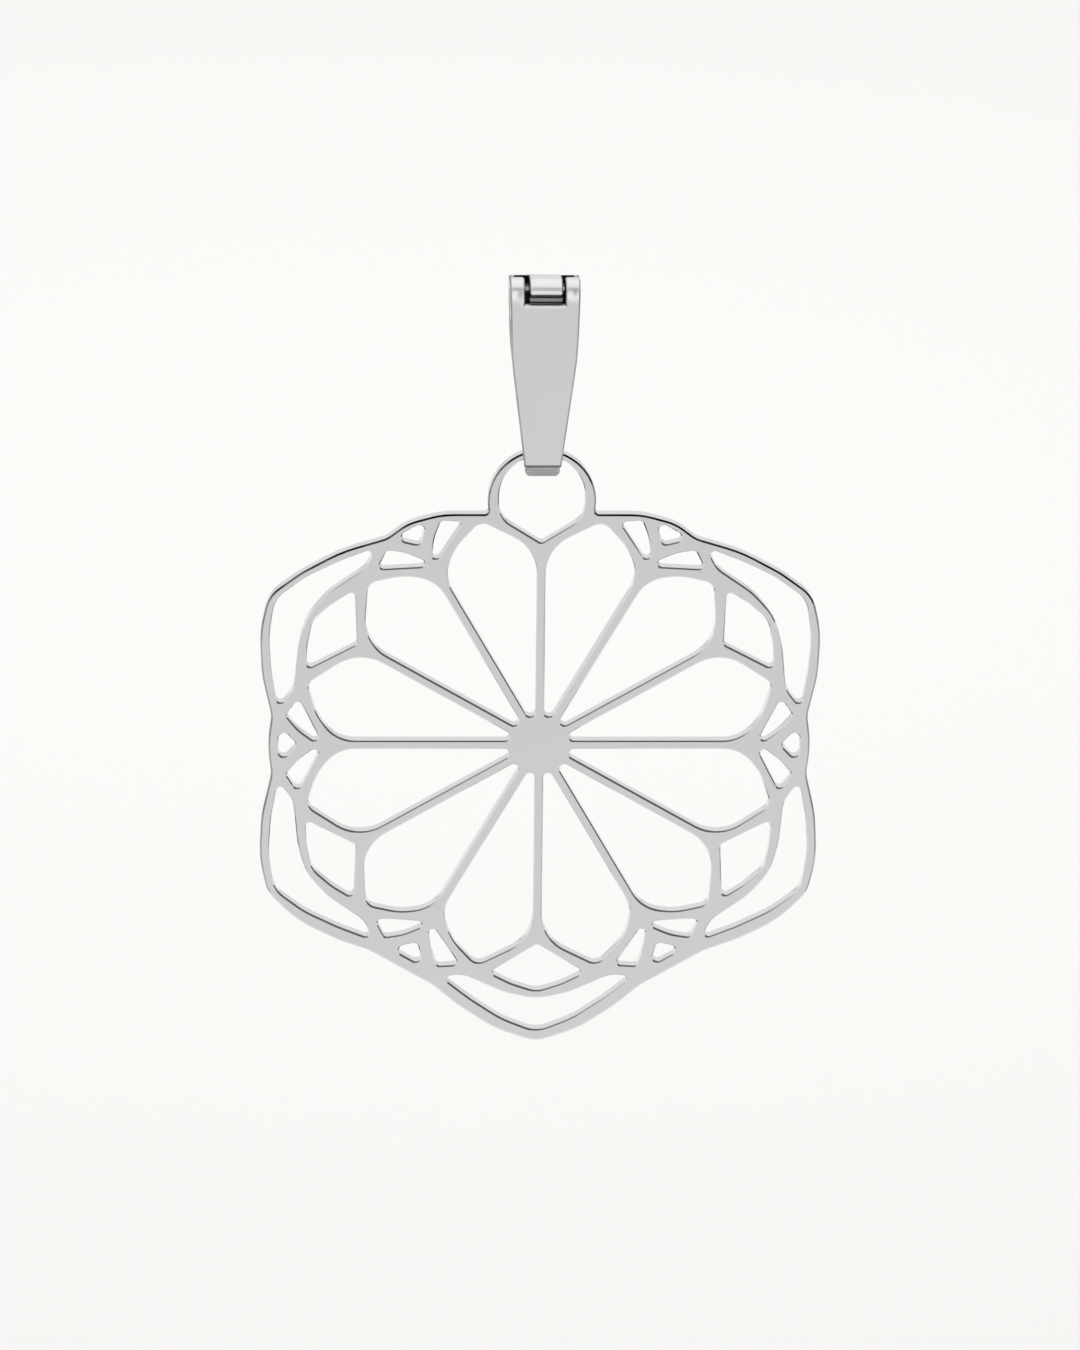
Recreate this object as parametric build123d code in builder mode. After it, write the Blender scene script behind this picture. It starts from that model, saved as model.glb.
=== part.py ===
from build123d import *
from collections import namedtuple
from math import acos, asin, atan2, cos, degrees, hypot, radians, sin, sqrt, tan
import os

# Rose window pendant: a rose of tracery cut from one sheet, on a clip bail of two leaves and a pin.
# Millimetres and degrees. X runs across, Y to the back and Z up. The origin is the centre of the
# chain that the bail hangs on, straight above the middle of the rose.

# The rose
rose_radius = 16.9
rose_sheet = 0.8
spoke_width = 0.47
lobe_count = 6
petal_tip_round = 0.27

# The loop that stands on the rose's top lobe
loop_hole_radius = 2.31
loop_rise = 0.99
loop_side_band = 0.59
loop_top_band = 0.31
loop_throat_round = 1.35
loop_root_round = 0.22

# The bail
chain_diameter = 2.0
leaf_sheet = 0.5
bail_top_width = 3.8
bail_knee_width = 3.55
bail_knee_drop = 0.9
bail_knee_round = 20.0
bail_foot_width = 1.92
bail_corner_round = 0.32
bail_foot_depth = 2.1
seat_drop = 6.89
foot_drop = 7.46
foot_end = 0.43
foot_corner_round = 0.38
foot_face_rise = 0.42
lip_sheet = 0.4
lip_end = 0.45
heel_round = 0.45

# The hinge
barrel_radius = 1.2
pin_radius = 0.5
pin_forward = 0.85
pin_inset = 0.06
notch_width = 2.14
notch_rise = 0.01
tongue_width = 1.76
tongue_shift = 0.06
hook_front_angle = 151.5
hook_back_angle = 300.0
arch_radius = 2.0
arch_drop = 0.93
shoulder_start = 0.45
tongue_overlap = 12.0

# Clearances
loop_seat_clearance = 0.12
loop_side_clearance = 0.13
lip_clearance = 0.08
ear_fit = 0.01
tongue_fit = 0.03
fine = 0.001

# Corners of the openings and of the rim as shares of rose_radius: how far out along the middle line of
# a lobe or a notch, how far across from that line, and the radius that rounds the corner.
Corner = namedtuple("Corner", "out across round")

petal_foot = Corner(0.656, 0, 0.137)
petal_crown = (
    Corner(0.746, 0.194, 0.038),
    Corner(0.663, 0.270, 0.190),
)
petal_shoulder = Corner(0.565, 0, 0.120)
lens_half = (
    Corner(0.674, 0, 0.016),
    Corner(0.771, 0.154, 0.014),
    Corner(0.808, 0.083, 0.190),
    Corner(0.836, 0, 0.080),
)
crescent_half = (
    Corner(0.973, 0, 0.095),
    Corner(0.927, 0.114, 0.320),
    Corner(0.860, 0.213, 0.320),
    Corner(0.784, 0.309, 0.0133),
    Corner(0.778, 0.235, 0.095),
    Corner(0.839, 0.105, 0.250),
    Corner(0.862, 0, 0.190),
)
# The half of a side crescent that lies next to a level notch is a little wider
crescent_near_half = (
    Corner(0.975, 0, 0.095),
    Corner(0.930, 0.115, 0.320),
    Corner(0.864, 0.214, 0.320),
    Corner(0.784, 0.309, 0.0133),
    Corner(0.772, 0.231, 0.095),
    Corner(0.832, 0.100, 0.250),
    Corner(0.860, 0, 0.190),
)
side_opening = (
    Corner(0.585, 0.353, 0.0127),
    Corner(0.692, 0.341, 0.190),
    Corner(0.749, 0.319, 0.0127),
    Corner(0.745, 0.248, 0.0133),
)
notch_half = (
    Corner(0.771, 0, 0.016),
    Corner(0.816, 0.048, 0.0165),
    Corner(0.832, 0.027, 0.0127),
)
rim_tip = Corner(1.008, 0, 0.111)
rim_flank = (
    Corner(0.9635, 0.133, 0.381),
    Corner(0.8825, 0.254, 0.381),
    Corner(0.8146, 0.3333, 0.095),
)
# Beside the level notches the rim is thinner, dips on each side of the notch and swells a little in it
side_tip = Corner(0.999, 0, 0.111)
side_flank = (
    Corner(0.9625, 0.118, 0.381),
    Corner(0.883, 0.241, 0.381),
    Corner(0.788, 0.343, 0.100),
)
notch_swell = Corner(0.868, 0, 0.400)
# The rim between the loop and the next lobe's tip, the first rows with out measured up the top lobe
rim_shoulder = (
    Corner(0.770, 0.317, 0.254),
    Corner(0.740, 0.425, 0.159),
    Corner(0.690, 0.490, 0.095),
    Corner(0.646, 0.635, 0.476),
)
shoulder_flank = (Corner(0.948, 0.118, 0.300),)

# Places worked out from the sizes above, with the bail's side seen as points (y, z)
full_turn = 360
lobe_turn = full_turn / lobe_count
half_turn = lobe_turn / 2
top_angle = 90
pin_rise = sqrt((barrel_radius + chain_diameter / 2) ** 2 - pin_forward**2)
pin_place = (-pin_forward, pin_rise)
arch_place = (0, pin_rise - arch_drop)
crest_level = pin_rise + barrel_radius
notch_level = pin_rise + notch_rise
foot_radius = pin_rise + foot_drop
lip_radius = foot_radius + lip_clearance
lip_outer_radius = lip_radius + lip_sheet
lip_drop = foot_drop + lip_clearance + lip_sheet
foot_half_depth = bail_foot_depth / 2
face_foot_level = foot_face_rise - foot_drop
below_all = -lip_drop - leaf_sheet
above_all = crest_level + leaf_sheet
loop_centre = rim_shoulder[0].out * rose_radius + loop_rise
loop_outer_radius = loop_hole_radius + loop_side_band
loop_outer_centre = loop_centre + loop_hole_radius + loop_top_band - loop_outer_radius
rose_level = loop_seat_clearance - seat_drop - loop_hole_radius - loop_centre
rose_plane = Plane(origin=(0, 0, rose_level), x_dir=(1, 0, 0), z_dir=(0, -1, 0))


def opening(corners, rounds):
    """A closed face with straight sides and rounded corners, its middle line up the Y axis."""
    with BuildSketch(mode=Mode.PRIVATE) as face:
        with BuildLine():
            FilletPolyline(*[(across, out) for out, across in corners], radius=rounds, close=True)
        make_face()
    return face.sketch


def table_opening(rows):
    """The opening that a table of corners describes."""
    corners = [(row.out * rose_radius, row.across * rose_radius) for row in rows]
    return opening(corners, [row.round * rose_radius for row in rows])


def whole(half, other_half=None):
    """A table from one half, given from middle line to middle line, and its mirror or another half."""
    return (other_half or half) + tuple(
        row._replace(across=-row.across) for row in reversed(half) if row.across > 0
    )


def petal_opening():
    """The opening between a lobe's spoke and a notch's spoke, under the rim."""
    edge = spoke_width / 2
    tip = edge / sin(radians(half_turn / 2))
    shoulder_out = petal_shoulder.out * rose_radius
    shoulder_across = shoulder_out * tan(radians(half_turn)) - edge / cos(radians(half_turn))
    corners = [
        (tip * cos(radians(half_turn / 2)), tip * sin(radians(half_turn / 2))),
        (petal_foot.out * rose_radius, edge),
        *[(row.out * rose_radius, row.across * rose_radius) for row in petal_crown],
        (shoulder_out, shoulder_across),
    ]
    turned_rows = (petal_foot,) + petal_crown + (petal_shoulder,)
    return opening(corners, [petal_tip_round] + [row.round * rose_radius for row in turned_rows])


def rim_point(angle, row, side):
    """A row of the rim's tables as a point, on one side of the lobe that points along an angle."""
    turn = radians(angle)
    out = row.out * rose_radius
    across = row.across * rose_radius * side
    return (out * cos(turn) - across * sin(turn), out * sin(turn) + across * cos(turn))


def rim_corners():
    """The rim's corners and their rounds, down the right side from the loop and up the left."""
    upper = top_angle - lobe_turn
    lower = upper - lobe_turn
    bottom = lower - lobe_turn
    right = [(top_angle, row, -1) for row in rim_shoulder]
    right += [(upper, row, 1) for row in shoulder_flank]
    right += [(upper, side_tip, 0)]
    right += [(upper, row, -1) for row in side_flank]
    right += [(upper - half_turn, notch_swell, 0)]
    right += [(lower, row, 1) for row in reversed(side_flank)]
    right += [(lower, side_tip, 0)]
    right += [(lower, row, -1) for row in rim_flank]
    right += [(bottom, row, 1) for row in reversed(rim_flank)]
    corners = [rim_point(*row) for row in right]
    rounds = [row.round * rose_radius for _, row, _ in right]
    left = [(-x, y) for x, y in reversed(corners)]
    bottom_tip = rim_point(bottom, rim_tip, 0)
    return corners + [bottom_tip] + left, rounds + [rim_tip.round * rose_radius] + rounds[::-1]


def loop_opening():
    """The loop's hole: a half round above, and below it the same pointed foot as a lens has."""
    foot, corner = lens_half[0], lens_half[1]
    foot_out = foot.out * rose_radius
    slope = (corner.out - foot.out) / corner.across
    corner_out = foot_out + slope * loop_hole_radius
    sides = [(loop_hole_radius, loop_centre), (loop_hole_radius, corner_out), (0, foot_out)]
    sides += [(-x, y) for x, y in reversed(sides[:2])]
    rounds = [loop_throat_round, foot.round * rose_radius, loop_throat_round]
    with BuildSketch(mode=Mode.PRIVATE) as face:
        with BuildLine():
            FilletPolyline(*sides, radius=rounds)
            CenterArc((0, loop_centre), loop_hole_radius, 0, 180)
        make_face()
    return face.sketch


def upright_edge(foot, centre, radius, side):
    """From a foot point, the tangent to a circle on its front (-1) or back (1): end point, angle."""
    rise = centre[1] - foot[1]
    run = centre[0] - foot[0]
    length = hypot(run, rise)
    lean = atan2(rise, run) - side * asin(radius / length)
    reach = sqrt(length**2 - radius**2)
    return (foot[0] + reach * cos(lean), foot[1] + reach * sin(lean)), lean


def leaf_lines(centre, radius, side):
    """A leaf's outer and inner faces from the side: tangent ends, and the same lines far below."""
    foot = (side * foot_half_depth, face_foot_level)
    outer_top, lean = upright_edge(foot, centre, radius, side)
    inward = (-side * sin(lean) * leaf_sheet, side * cos(lean) * leaf_sheet)
    inner_top = (outer_top[0] + inward[0], outer_top[1] + inward[1])
    run = (outer_top[1] - below_all) / tan(lean)
    outer_foot = (outer_top[0] - run, below_all)
    inner_run = (inner_top[1] - below_all) / tan(lean)
    inner_foot = (inner_top[0] - inner_run, below_all)
    return outer_top, inner_top, inner_foot, outer_foot


def around_pin(angle):
    """A point outside the barrel, seen from the side at an angle round the pin."""
    reach = 3 * barrel_radius
    return (pin_place[0] + reach * cos(radians(angle)), pin_place[1] + reach * sin(radians(angle)))


def bail_outline(drop):
    """The bail from the front, down to a given level, as a solid to cut the leaves with."""
    taper = (bail_knee_width - bail_foot_width) / (foot_drop - bail_knee_drop)
    foot_width = bail_knee_width - taper * (drop - bail_knee_drop)
    right = [
        (bail_top_width / 2, above_all),
        (bail_knee_width / 2, -bail_knee_drop),
        (foot_width / 2, -drop),
    ]
    left = [(-x, z) for x, z in reversed(right)]
    rounds = [0, bail_knee_round, bail_corner_round]
    with BuildPart(mode=Mode.PRIVATE) as outline:
        with BuildSketch(Plane.XZ):
            with BuildLine():
                FilletPolyline(*right, *left, radius=rounds + rounds[::-1], close=True)
            make_face()
        extrude(amount=2 * arch_radius + barrel_radius, both=True)
    return outline.part


# Rose: one sheet with its openings cut through
petal = petal_opening()
side_light = table_opening(side_opening)
notch_light = table_opening(whole(notch_half))
lens = table_opening(whole(lens_half))
low_crescent = table_opening(whole(crescent_half))
side_crescent = table_opening(whole(crescent_half, crescent_near_half))
with BuildPart() as rose:
    with BuildSketch(rose_plane) as tracery:
        rim, rim_rounds = rim_corners()
        with BuildLine():
            FilletPolyline(*rim, radius=rim_rounds, close=True)
        make_face()
        with Locations((0, loop_outer_centre)):
            Circle(loop_outer_radius)
        rim_top = rim_shoulder[0].out * rose_radius
        at_rim = tracery.vertices().filter_by_position(Axis.Y, rim_top - fine, rim_top + fine)
        roots = at_rim.filter_by_position(Axis.X, -loop_outer_radius, loop_outer_radius)
        fillet(roots, radius=loop_root_round)
        add(loop_opening(), mode=Mode.SUBTRACT)
        with PolarLocations(0, lobe_count):
            add(petal, mode=Mode.SUBTRACT)
            add(mirror(petal, about=Plane.YZ, mode=Mode.PRIVATE), mode=Mode.SUBTRACT)
            add(side_light, mode=Mode.SUBTRACT)
            add(mirror(side_light, about=Plane.YZ, mode=Mode.PRIVATE), mode=Mode.SUBTRACT)
        with PolarLocations(0, lobe_count, start_angle=half_turn):
            add(notch_light, mode=Mode.SUBTRACT)
        # The top lobe has the loop in place of its lens and crescent
        with PolarLocations(0, lobe_count - 1, start_angle=lobe_turn, angular_range=full_turn - 2 * lobe_turn,
                            endpoint=True):
            add(lens, mode=Mode.SUBTRACT)
        with PolarLocations(0, 1, start_angle=full_turn / 2):
            add(low_crescent, mode=Mode.SUBTRACT)
        with PolarLocations(0, 2, start_angle=2 * lobe_turn):
            add(side_crescent, mode=Mode.SUBTRACT)
        with PolarLocations(0, 2, start_angle=lobe_turn):
            add(mirror(side_crescent, about=Plane.YZ, mode=Mode.PRIVATE), mode=Mode.SUBTRACT)
    extrude(amount=rose_sheet / 2, both=True)
rose.part.label = "rose_window"

# Front leaf: a tapered sheet, rolled to ears at the top, its foot turned back through the loop
outer_top, inner_top, inner_foot, outer_foot = leaf_lines(pin_place, barrel_radius, -1)
inner_slope = (inner_top[0] - inner_foot[0]) / (inner_top[1] - inner_foot[1])
gap_foot = (inner_top[0] - inner_top[1] * inner_slope, 0)
with BuildPart() as front_leaf:
    with BuildSketch(Plane.YZ) as front_side:
        with BuildLine():
            Polyline(outer_top, inner_top, inner_foot, outer_foot, close=True)
        make_face()
        with BuildLine():
            Polyline(
                (-foot_half_depth, below_all),
                (foot_end, below_all),
                (foot_end, -seat_drop),
                (-foot_half_depth, -seat_drop),
                close=True,
            )
        make_face()
        with Locations(pin_place):
            Circle(barrel_radius)
            Circle(foot_radius, mode=Mode.INTERSECT)
        toe = front_side.vertices().sort_by_distance((-foot_half_depth, -foot_drop))[0]
        fillet(toe, radius=foot_corner_round)
    extrude(amount=bail_top_width / 2, both=True)
    # Between the ears only the sheet is left, up to the notch's floor
    with BuildSketch(Plane.YZ):
        with BuildLine():
            Polyline(
                inner_top,
                (inner_top[0], above_all),
                (arch_radius, above_all),
                (arch_radius, 0),
                gap_foot,
                close=True,
            )
        make_face()
        with BuildLine():
            Polyline(
                (-2 * arch_radius, notch_level),
                (arch_radius, notch_level),
                (arch_radius, above_all),
                (-2 * arch_radius, above_all),
                close=True,
            )
        make_face()
        with Locations(pin_place):
            Circle(barrel_radius - leaf_sheet)
    extrude(amount=notch_width / 2, both=True, mode=Mode.SUBTRACT)
    with BuildSketch(Plane.YZ):
        with Locations(pin_place):
            Circle(pin_radius + ear_fit)
    extrude(amount=bail_top_width, both=True, mode=Mode.SUBTRACT)
    # The seat: the room that the loop needs to hang and swing in
    with BuildSketch(rose_plane):
        with Locations((0, loop_centre)):
            Circle(2 * loop_hole_radius)
            Circle(loop_hole_radius - loop_seat_clearance, mode=Mode.SUBTRACT)
    extrude(amount=rose_sheet / 2 + loop_side_clearance, both=True, mode=Mode.SUBTRACT)
    add(bail_outline(foot_drop), mode=Mode.INTERSECT)
front_leaf.part.label = "bail_front"

# Back leaf: a tapered sheet, arched over the chain to the hinge, its lip turned forward under the foot
outer_top, inner_top, inner_foot, outer_foot = leaf_lines(arch_place, arch_radius, 1)
arch_inner_radius = arch_radius - leaf_sheet
arch_foot_angle = degrees(atan2(outer_top[1] - arch_place[1], outer_top[0] - arch_place[0]))
outer_end_angle = degrees(acos(shoulder_start / arch_radius))
inner_end_angle = degrees(acos(shoulder_start / arch_inner_radius))
tongue_front_angle = degrees(acos(-pin_forward / arch_radius))
tongue_sweep = tongue_front_angle - outer_end_angle + tongue_overlap
with BuildPart() as back_leaf:
    with BuildSketch(Plane.YZ) as back_side:
        with BuildLine():
            outer_arc = CenterArc(arch_place, arch_radius, arch_foot_angle, outer_end_angle - arch_foot_angle)
            inner_arc = CenterArc(arch_place, arch_inner_radius, arch_foot_angle, inner_end_angle - arch_foot_angle)
            Line(outer_arc @ 1, inner_arc @ 1)
            Polyline(inner_arc @ 0, inner_foot, outer_foot, outer_arc @ 0)
        make_face()
        with BuildLine():
            Polyline(
                (-lip_end, below_all),
                (foot_half_depth, below_all),
                (foot_half_depth, face_foot_level),
                (-lip_end, face_foot_level),
                close=True,
            )
        make_face()
        with Locations(pin_place):
            Circle(lip_outer_radius, mode=Mode.INTERSECT)
        heel = back_side.vertices().sort_by_distance((foot_half_depth, -lip_drop))[0]
        fillet(heel, radius=heel_round)
    extrude(amount=bail_top_width / 2, both=True)
    # The lip's upper face keeps clear of the front leaf's foot all the way as the bail opens
    with BuildSketch(Plane.YZ):
        with BuildLine():
            Polyline(inner_foot, inner_top, (-2 * arch_radius, inner_top[1]), (-2 * arch_radius, below_all), close=True)
        make_face()
        with Locations(pin_place):
            Circle(lip_radius, mode=Mode.INTERSECT)
    extrude(amount=bail_top_width / 2, both=True, mode=Mode.SUBTRACT)
    # The tongue between the ears, hooked over the pin
    with BuildSketch(Plane.YZ.offset(tongue_shift)):
        with BuildLine():
            tongue_arc = CenterArc(arch_place, arch_radius, outer_end_angle - tongue_overlap, tongue_sweep)
            tongue_under = CenterArc(arch_place, arch_inner_radius, outer_end_angle - tongue_overlap, tongue_sweep)
            Line(tongue_arc @ 0, tongue_under @ 0)
            Line(tongue_arc @ 1, tongue_under @ 1)
        make_face()
        with Locations(pin_place):
            Circle(barrel_radius)
        with BuildLine():
            Polyline(
                pin_place,
                around_pin(hook_front_angle),
                around_pin((hook_front_angle + hook_back_angle) / 2),
                around_pin(hook_back_angle),
                close=True,
            )
        make_face(mode=Mode.SUBTRACT)
    extrude(amount=tongue_width / 2, both=True)
    with BuildSketch(Plane.YZ):
        with Locations(pin_place):
            Circle(pin_radius + tongue_fit)
    extrude(amount=bail_top_width, both=True, mode=Mode.SUBTRACT)
    add(bail_outline(lip_drop), mode=Mode.INTERSECT)
back_leaf.part.label = "bail_back"

# Hinge pin: held in the ears, its ends just inside their cheeks
with BuildPart() as pin:
    with BuildSketch(Plane.YZ):
        with Locations(pin_place):
            Circle(pin_radius)
    extrude(amount=bail_top_width / 2 - pin_inset, both=True)
pin.part.label = "hinge_pin"

os.makedirs("parts", exist_ok=True)
export_step(rose.part, "parts/rose_window.step")
export_step(front_leaf.part, "parts/bail_front.step")
export_step(back_leaf.part, "parts/bail_back.step")
export_step(pin.part, "parts/hinge_pin.step")
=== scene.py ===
"""Rose window pendant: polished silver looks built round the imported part.

The rose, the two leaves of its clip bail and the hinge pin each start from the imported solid's own mesh.
Their edges are rounded as a jeweller's polishing leaves them, and each gets its own procedural silver.
"""

import logging
import math
from collections.abc import Sequence
from dataclasses import dataclass, field
from enum import Enum

import bmesh
import bpy
from mathutils import Matrix, Quaternion, Vector

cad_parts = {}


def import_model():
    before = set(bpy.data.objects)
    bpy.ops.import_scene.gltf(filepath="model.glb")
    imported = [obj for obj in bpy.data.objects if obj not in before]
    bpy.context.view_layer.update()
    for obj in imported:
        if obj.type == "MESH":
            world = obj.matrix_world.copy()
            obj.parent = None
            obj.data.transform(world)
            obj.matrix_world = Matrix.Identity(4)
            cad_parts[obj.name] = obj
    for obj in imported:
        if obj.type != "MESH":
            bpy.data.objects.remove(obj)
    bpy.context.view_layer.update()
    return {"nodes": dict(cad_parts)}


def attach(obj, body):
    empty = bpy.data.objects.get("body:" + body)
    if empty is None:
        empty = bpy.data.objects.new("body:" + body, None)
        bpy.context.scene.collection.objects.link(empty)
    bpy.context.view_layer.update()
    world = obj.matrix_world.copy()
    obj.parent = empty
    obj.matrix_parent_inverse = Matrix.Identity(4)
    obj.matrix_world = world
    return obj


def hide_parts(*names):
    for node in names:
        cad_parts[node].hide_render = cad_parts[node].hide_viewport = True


LOG = logging.getLogger("rose_window_pendant")
MM = 0.001
# Per-face share of a painted shade that darkens chosen edge facets and rounds, picked by the way they
# face.
EDGE_SHADE_ATTRIBUTE = "painted_edge_shade"
# Per-face share of a painted shade, near black, in the gaps of the hinge and along the turn of the foot.
RECESS_SHADE_ATTRIBUTE = "painted_recess_shade"

Colour = tuple[float, float, float, float]
Point = tuple[float, float, float]
Span = tuple[float, float]


class BuffedAlong(Enum):
    """The way a piece was buffed, as how far its marks are squeezed on X, Y and Z."""

    WIDTH = (0.12, 1.0, 1.0)
    LENGTH = (1.0, 1.0, 0.1)
    ROUND = (1.0, 0.8, 0.8)


class ShaderGroups:
    """Builds the shader node groups that the silver finishes share, each of them once."""

    SCRATCH_TURNS = (0.6, -0.95)

    def __init__(self) -> None:
        """Make every group, ready to be placed in a material."""
        self.buffing = self._buffing_marks()
        self.scratches = self._fine_scratches()
        self.tone = self._handled_tone()
        # The edge group paints a shade along chosen edges, and the spot group paints dark reflections in
        # soft spots.
        self.edge_shade = self._edge_shade()
        self.reflection_spot = self._dark_reflection_spot()

    @staticmethod
    def _start(
        name: str, inputs: list[tuple[str, str, float]], outputs: list[tuple[str, str]]
    ) -> bpy.types.NodeTree:
        """Make an empty group with its sockets.

        Args:
            name: The group's name.
            inputs: Socket name, kind and value of each input; a vector or colour takes no value.
            outputs: Socket name and kind of each output.

        Returns:
            The new node tree, with its group input and output nodes named source and result.
        """
        tree = bpy.data.node_groups.new(name, "ShaderNodeTree")
        for label, kind, value in inputs:
            socket = tree.interface.new_socket(name=label, in_out="INPUT", socket_type=kind)
            if kind == "NodeSocketFloat":
                socket.default_value = value
        for label, kind in outputs:
            tree.interface.new_socket(name=label, in_out="OUTPUT", socket_type=kind)
        tree.nodes.new("NodeGroupInput").name = "source"
        tree.nodes.new("NodeGroupOutput").name = "result"
        return tree

    def _buffing_marks(self) -> bpy.types.NodeTree:
        """Long soft marks left by a buffing wheel, as a height.

        Returns:
            The group's node tree.
        """
        tree = self._start(
            "buffing_marks",
            [
                ("Place", "NodeSocketVector", 0.0),
                ("Squeeze", "NodeSocketVector", 0.0),
                ("Fineness", "NodeSocketFloat", 3000.0),
            ],
            [("Height", "NodeSocketFloat")],
        )
        source, result = tree.nodes["source"], tree.nodes["result"]
        squeezed = tree.nodes.new("ShaderNodeVectorMath")
        squeezed.operation = "MULTIPLY"
        marks = tree.nodes.new("ShaderNodeTexNoise")
        marks.inputs["Detail"].default_value = 5.0
        marks.inputs["Roughness"].default_value = 0.62
        tree.links.new(source.outputs["Place"], squeezed.inputs[0])
        tree.links.new(source.outputs["Squeeze"], squeezed.inputs[1])
        tree.links.new(squeezed.outputs["Vector"], marks.inputs["Vector"])
        tree.links.new(source.outputs["Fineness"], marks.inputs["Scale"])
        tree.links.new(marks.outputs["Fac"], result.inputs["Height"])
        return tree

    def _fine_scratches(self) -> bpy.types.NodeTree:
        """Sparse hairline scratches in two directions, as a mask.

        Returns:
            The group's node tree.
        """
        tree = self._start(
            "fine_scratches",
            [
                ("Place", "NodeSocketVector", 0.0),
                ("Fineness", "NodeSocketFloat", 500.0),
                ("Spread", "NodeSocketFloat", 0.5),
            ],
            [("Scratches", "NodeSocketFloat")],
        )
        source, result = tree.nodes["source"], tree.nodes["result"]
        both = tree.nodes.new("ShaderNodeMath")
        both.operation = "MAXIMUM"
        for index, turn in enumerate(self.SCRATCH_TURNS):
            turned = tree.nodes.new("ShaderNodeVectorRotate")
            turned.rotation_type = "Y_AXIS"
            turned.inputs["Angle"].default_value = turn
            lines = tree.nodes.new("ShaderNodeTexWave")
            lines.inputs["Distortion"].default_value = 9.0
            lines.inputs["Detail"].default_value = 2.0
            lines.inputs["Detail Scale"].default_value = 0.35
            thin = tree.nodes.new("ShaderNodeMapRange")
            thin.inputs["From Min"].default_value = 0.985
            thin.inputs["From Max"].default_value = 1.0
            tree.links.new(source.outputs["Place"], turned.inputs["Vector"])
            tree.links.new(turned.outputs["Vector"], lines.inputs["Vector"])
            tree.links.new(source.outputs["Fineness"], lines.inputs["Scale"])
            tree.links.new(lines.outputs["Fac"], thin.inputs["Value"])
            tree.links.new(thin.outputs["Result"], both.inputs[index])
        patches = tree.nodes.new("ShaderNodeTexNoise")
        patches.inputs["Scale"].default_value = 420.0
        patches.inputs["Detail"].default_value = 2.0
        sparse = tree.nodes.new("ShaderNodeMapRange")
        sparse.inputs["From Max"].default_value = 0.72
        kept = tree.nodes.new("ShaderNodeMath")
        kept.operation = "MULTIPLY"
        tree.links.new(source.outputs["Place"], patches.inputs["Vector"])
        tree.links.new(patches.outputs["Fac"], sparse.inputs["Value"])
        tree.links.new(source.outputs["Spread"], sparse.inputs["From Min"])
        tree.links.new(both.outputs["Value"], kept.inputs[0])
        tree.links.new(sparse.outputs["Result"], kept.inputs[1])
        tree.links.new(kept.outputs["Value"], result.inputs["Scratches"])
        return tree

    def _handled_tone(self) -> bpy.types.NodeTree:
        """Slow cloudy changes of colour and gloss, as left by fingers and a cloth.

        Returns:
            The group's node tree.
        """
        tree = self._start(
            "handled_tone",
            [
                ("Place", "NodeSocketVector", 0.0),
                ("Bright", "NodeSocketColor", 0.0),
                ("Dulled", "NodeSocketColor", 0.0),
                ("Fineness", "NodeSocketFloat", 180.0),
                ("Scratches", "NodeSocketFloat", 0.0),
                ("Smoothest", "NodeSocketFloat", 0.05),
                ("Roughest", "NodeSocketFloat", 0.15),
            ],
            [("Color", "NodeSocketColor"), ("Roughness", "NodeSocketFloat")],
        )
        source, result = tree.nodes["source"], tree.nodes["result"]
        clouds = tree.nodes.new("ShaderNodeTexNoise")
        clouds.inputs["Detail"].default_value = 3.0
        soft = tree.nodes.new("ShaderNodeMapRange")
        soft.inputs["From Min"].default_value = 0.35
        soft.inputs["From Max"].default_value = 0.7
        marked = tree.nodes.new("ShaderNodeMath")
        marked.operation = "MAXIMUM"
        colour = tree.nodes.new("ShaderNodeMix")
        colour.data_type = "RGBA"
        gloss = tree.nodes.new("ShaderNodeMapRange")
        tree.links.new(source.outputs["Place"], clouds.inputs["Vector"])
        tree.links.new(source.outputs["Fineness"], clouds.inputs["Scale"])
        tree.links.new(clouds.outputs["Fac"], soft.inputs["Value"])
        tree.links.new(soft.outputs["Result"], marked.inputs[0])
        tree.links.new(source.outputs["Scratches"], marked.inputs[1])
        tree.links.new(marked.outputs["Value"], colour.inputs["Factor"])
        tree.links.new(source.outputs["Bright"], colour.inputs["A"])
        tree.links.new(source.outputs["Dulled"], colour.inputs["B"])
        tree.links.new(marked.outputs["Value"], gloss.inputs["Value"])
        tree.links.new(source.outputs["Smoothest"], gloss.inputs["To Min"])
        tree.links.new(source.outputs["Roughest"], gloss.inputs["To Max"])
        tree.links.new(colour.outputs["Result"], result.inputs["Color"])
        tree.links.new(gloss.outputs["Result"], result.inputs["Roughness"])
        return tree

    def _edge_shade(self) -> bpy.types.NodeTree:
        """How strongly a painted shade darkens an edge, a little uneven along its length.

        Returns:
            The group's node tree.
        """
        tree = self._start(
            "painted_edge_shade_strength",
            [
                ("Place", "NodeSocketVector", 0.0),
                ("Edge", "NodeSocketFloat", 0.0),
                ("Fineness", "NodeSocketFloat", 900.0),
            ],
            [("Shade", "NodeSocketFloat")],
        )
        source, result = tree.nodes["source"], tree.nodes["result"]
        uneven = tree.nodes.new("ShaderNodeTexNoise")
        uneven.inputs["Detail"].default_value = 2.0
        kept = tree.nodes.new("ShaderNodeMapRange")
        kept.inputs["From Min"].default_value = 0.3
        kept.inputs["From Max"].default_value = 0.6
        kept.inputs["To Min"].default_value = 0.7
        shade_share = tree.nodes.new("ShaderNodeMath")
        shade_share.operation = "MULTIPLY"
        tree.links.new(source.outputs["Place"], uneven.inputs["Vector"])
        tree.links.new(source.outputs["Fineness"], uneven.inputs["Scale"])
        tree.links.new(uneven.outputs["Fac"], kept.inputs["Value"])
        tree.links.new(kept.outputs["Result"], shade_share.inputs[0])
        tree.links.new(source.outputs["Edge"], shade_share.inputs[1])
        tree.links.new(shade_share.outputs["Value"], result.inputs["Shade"])
        return tree

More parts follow.
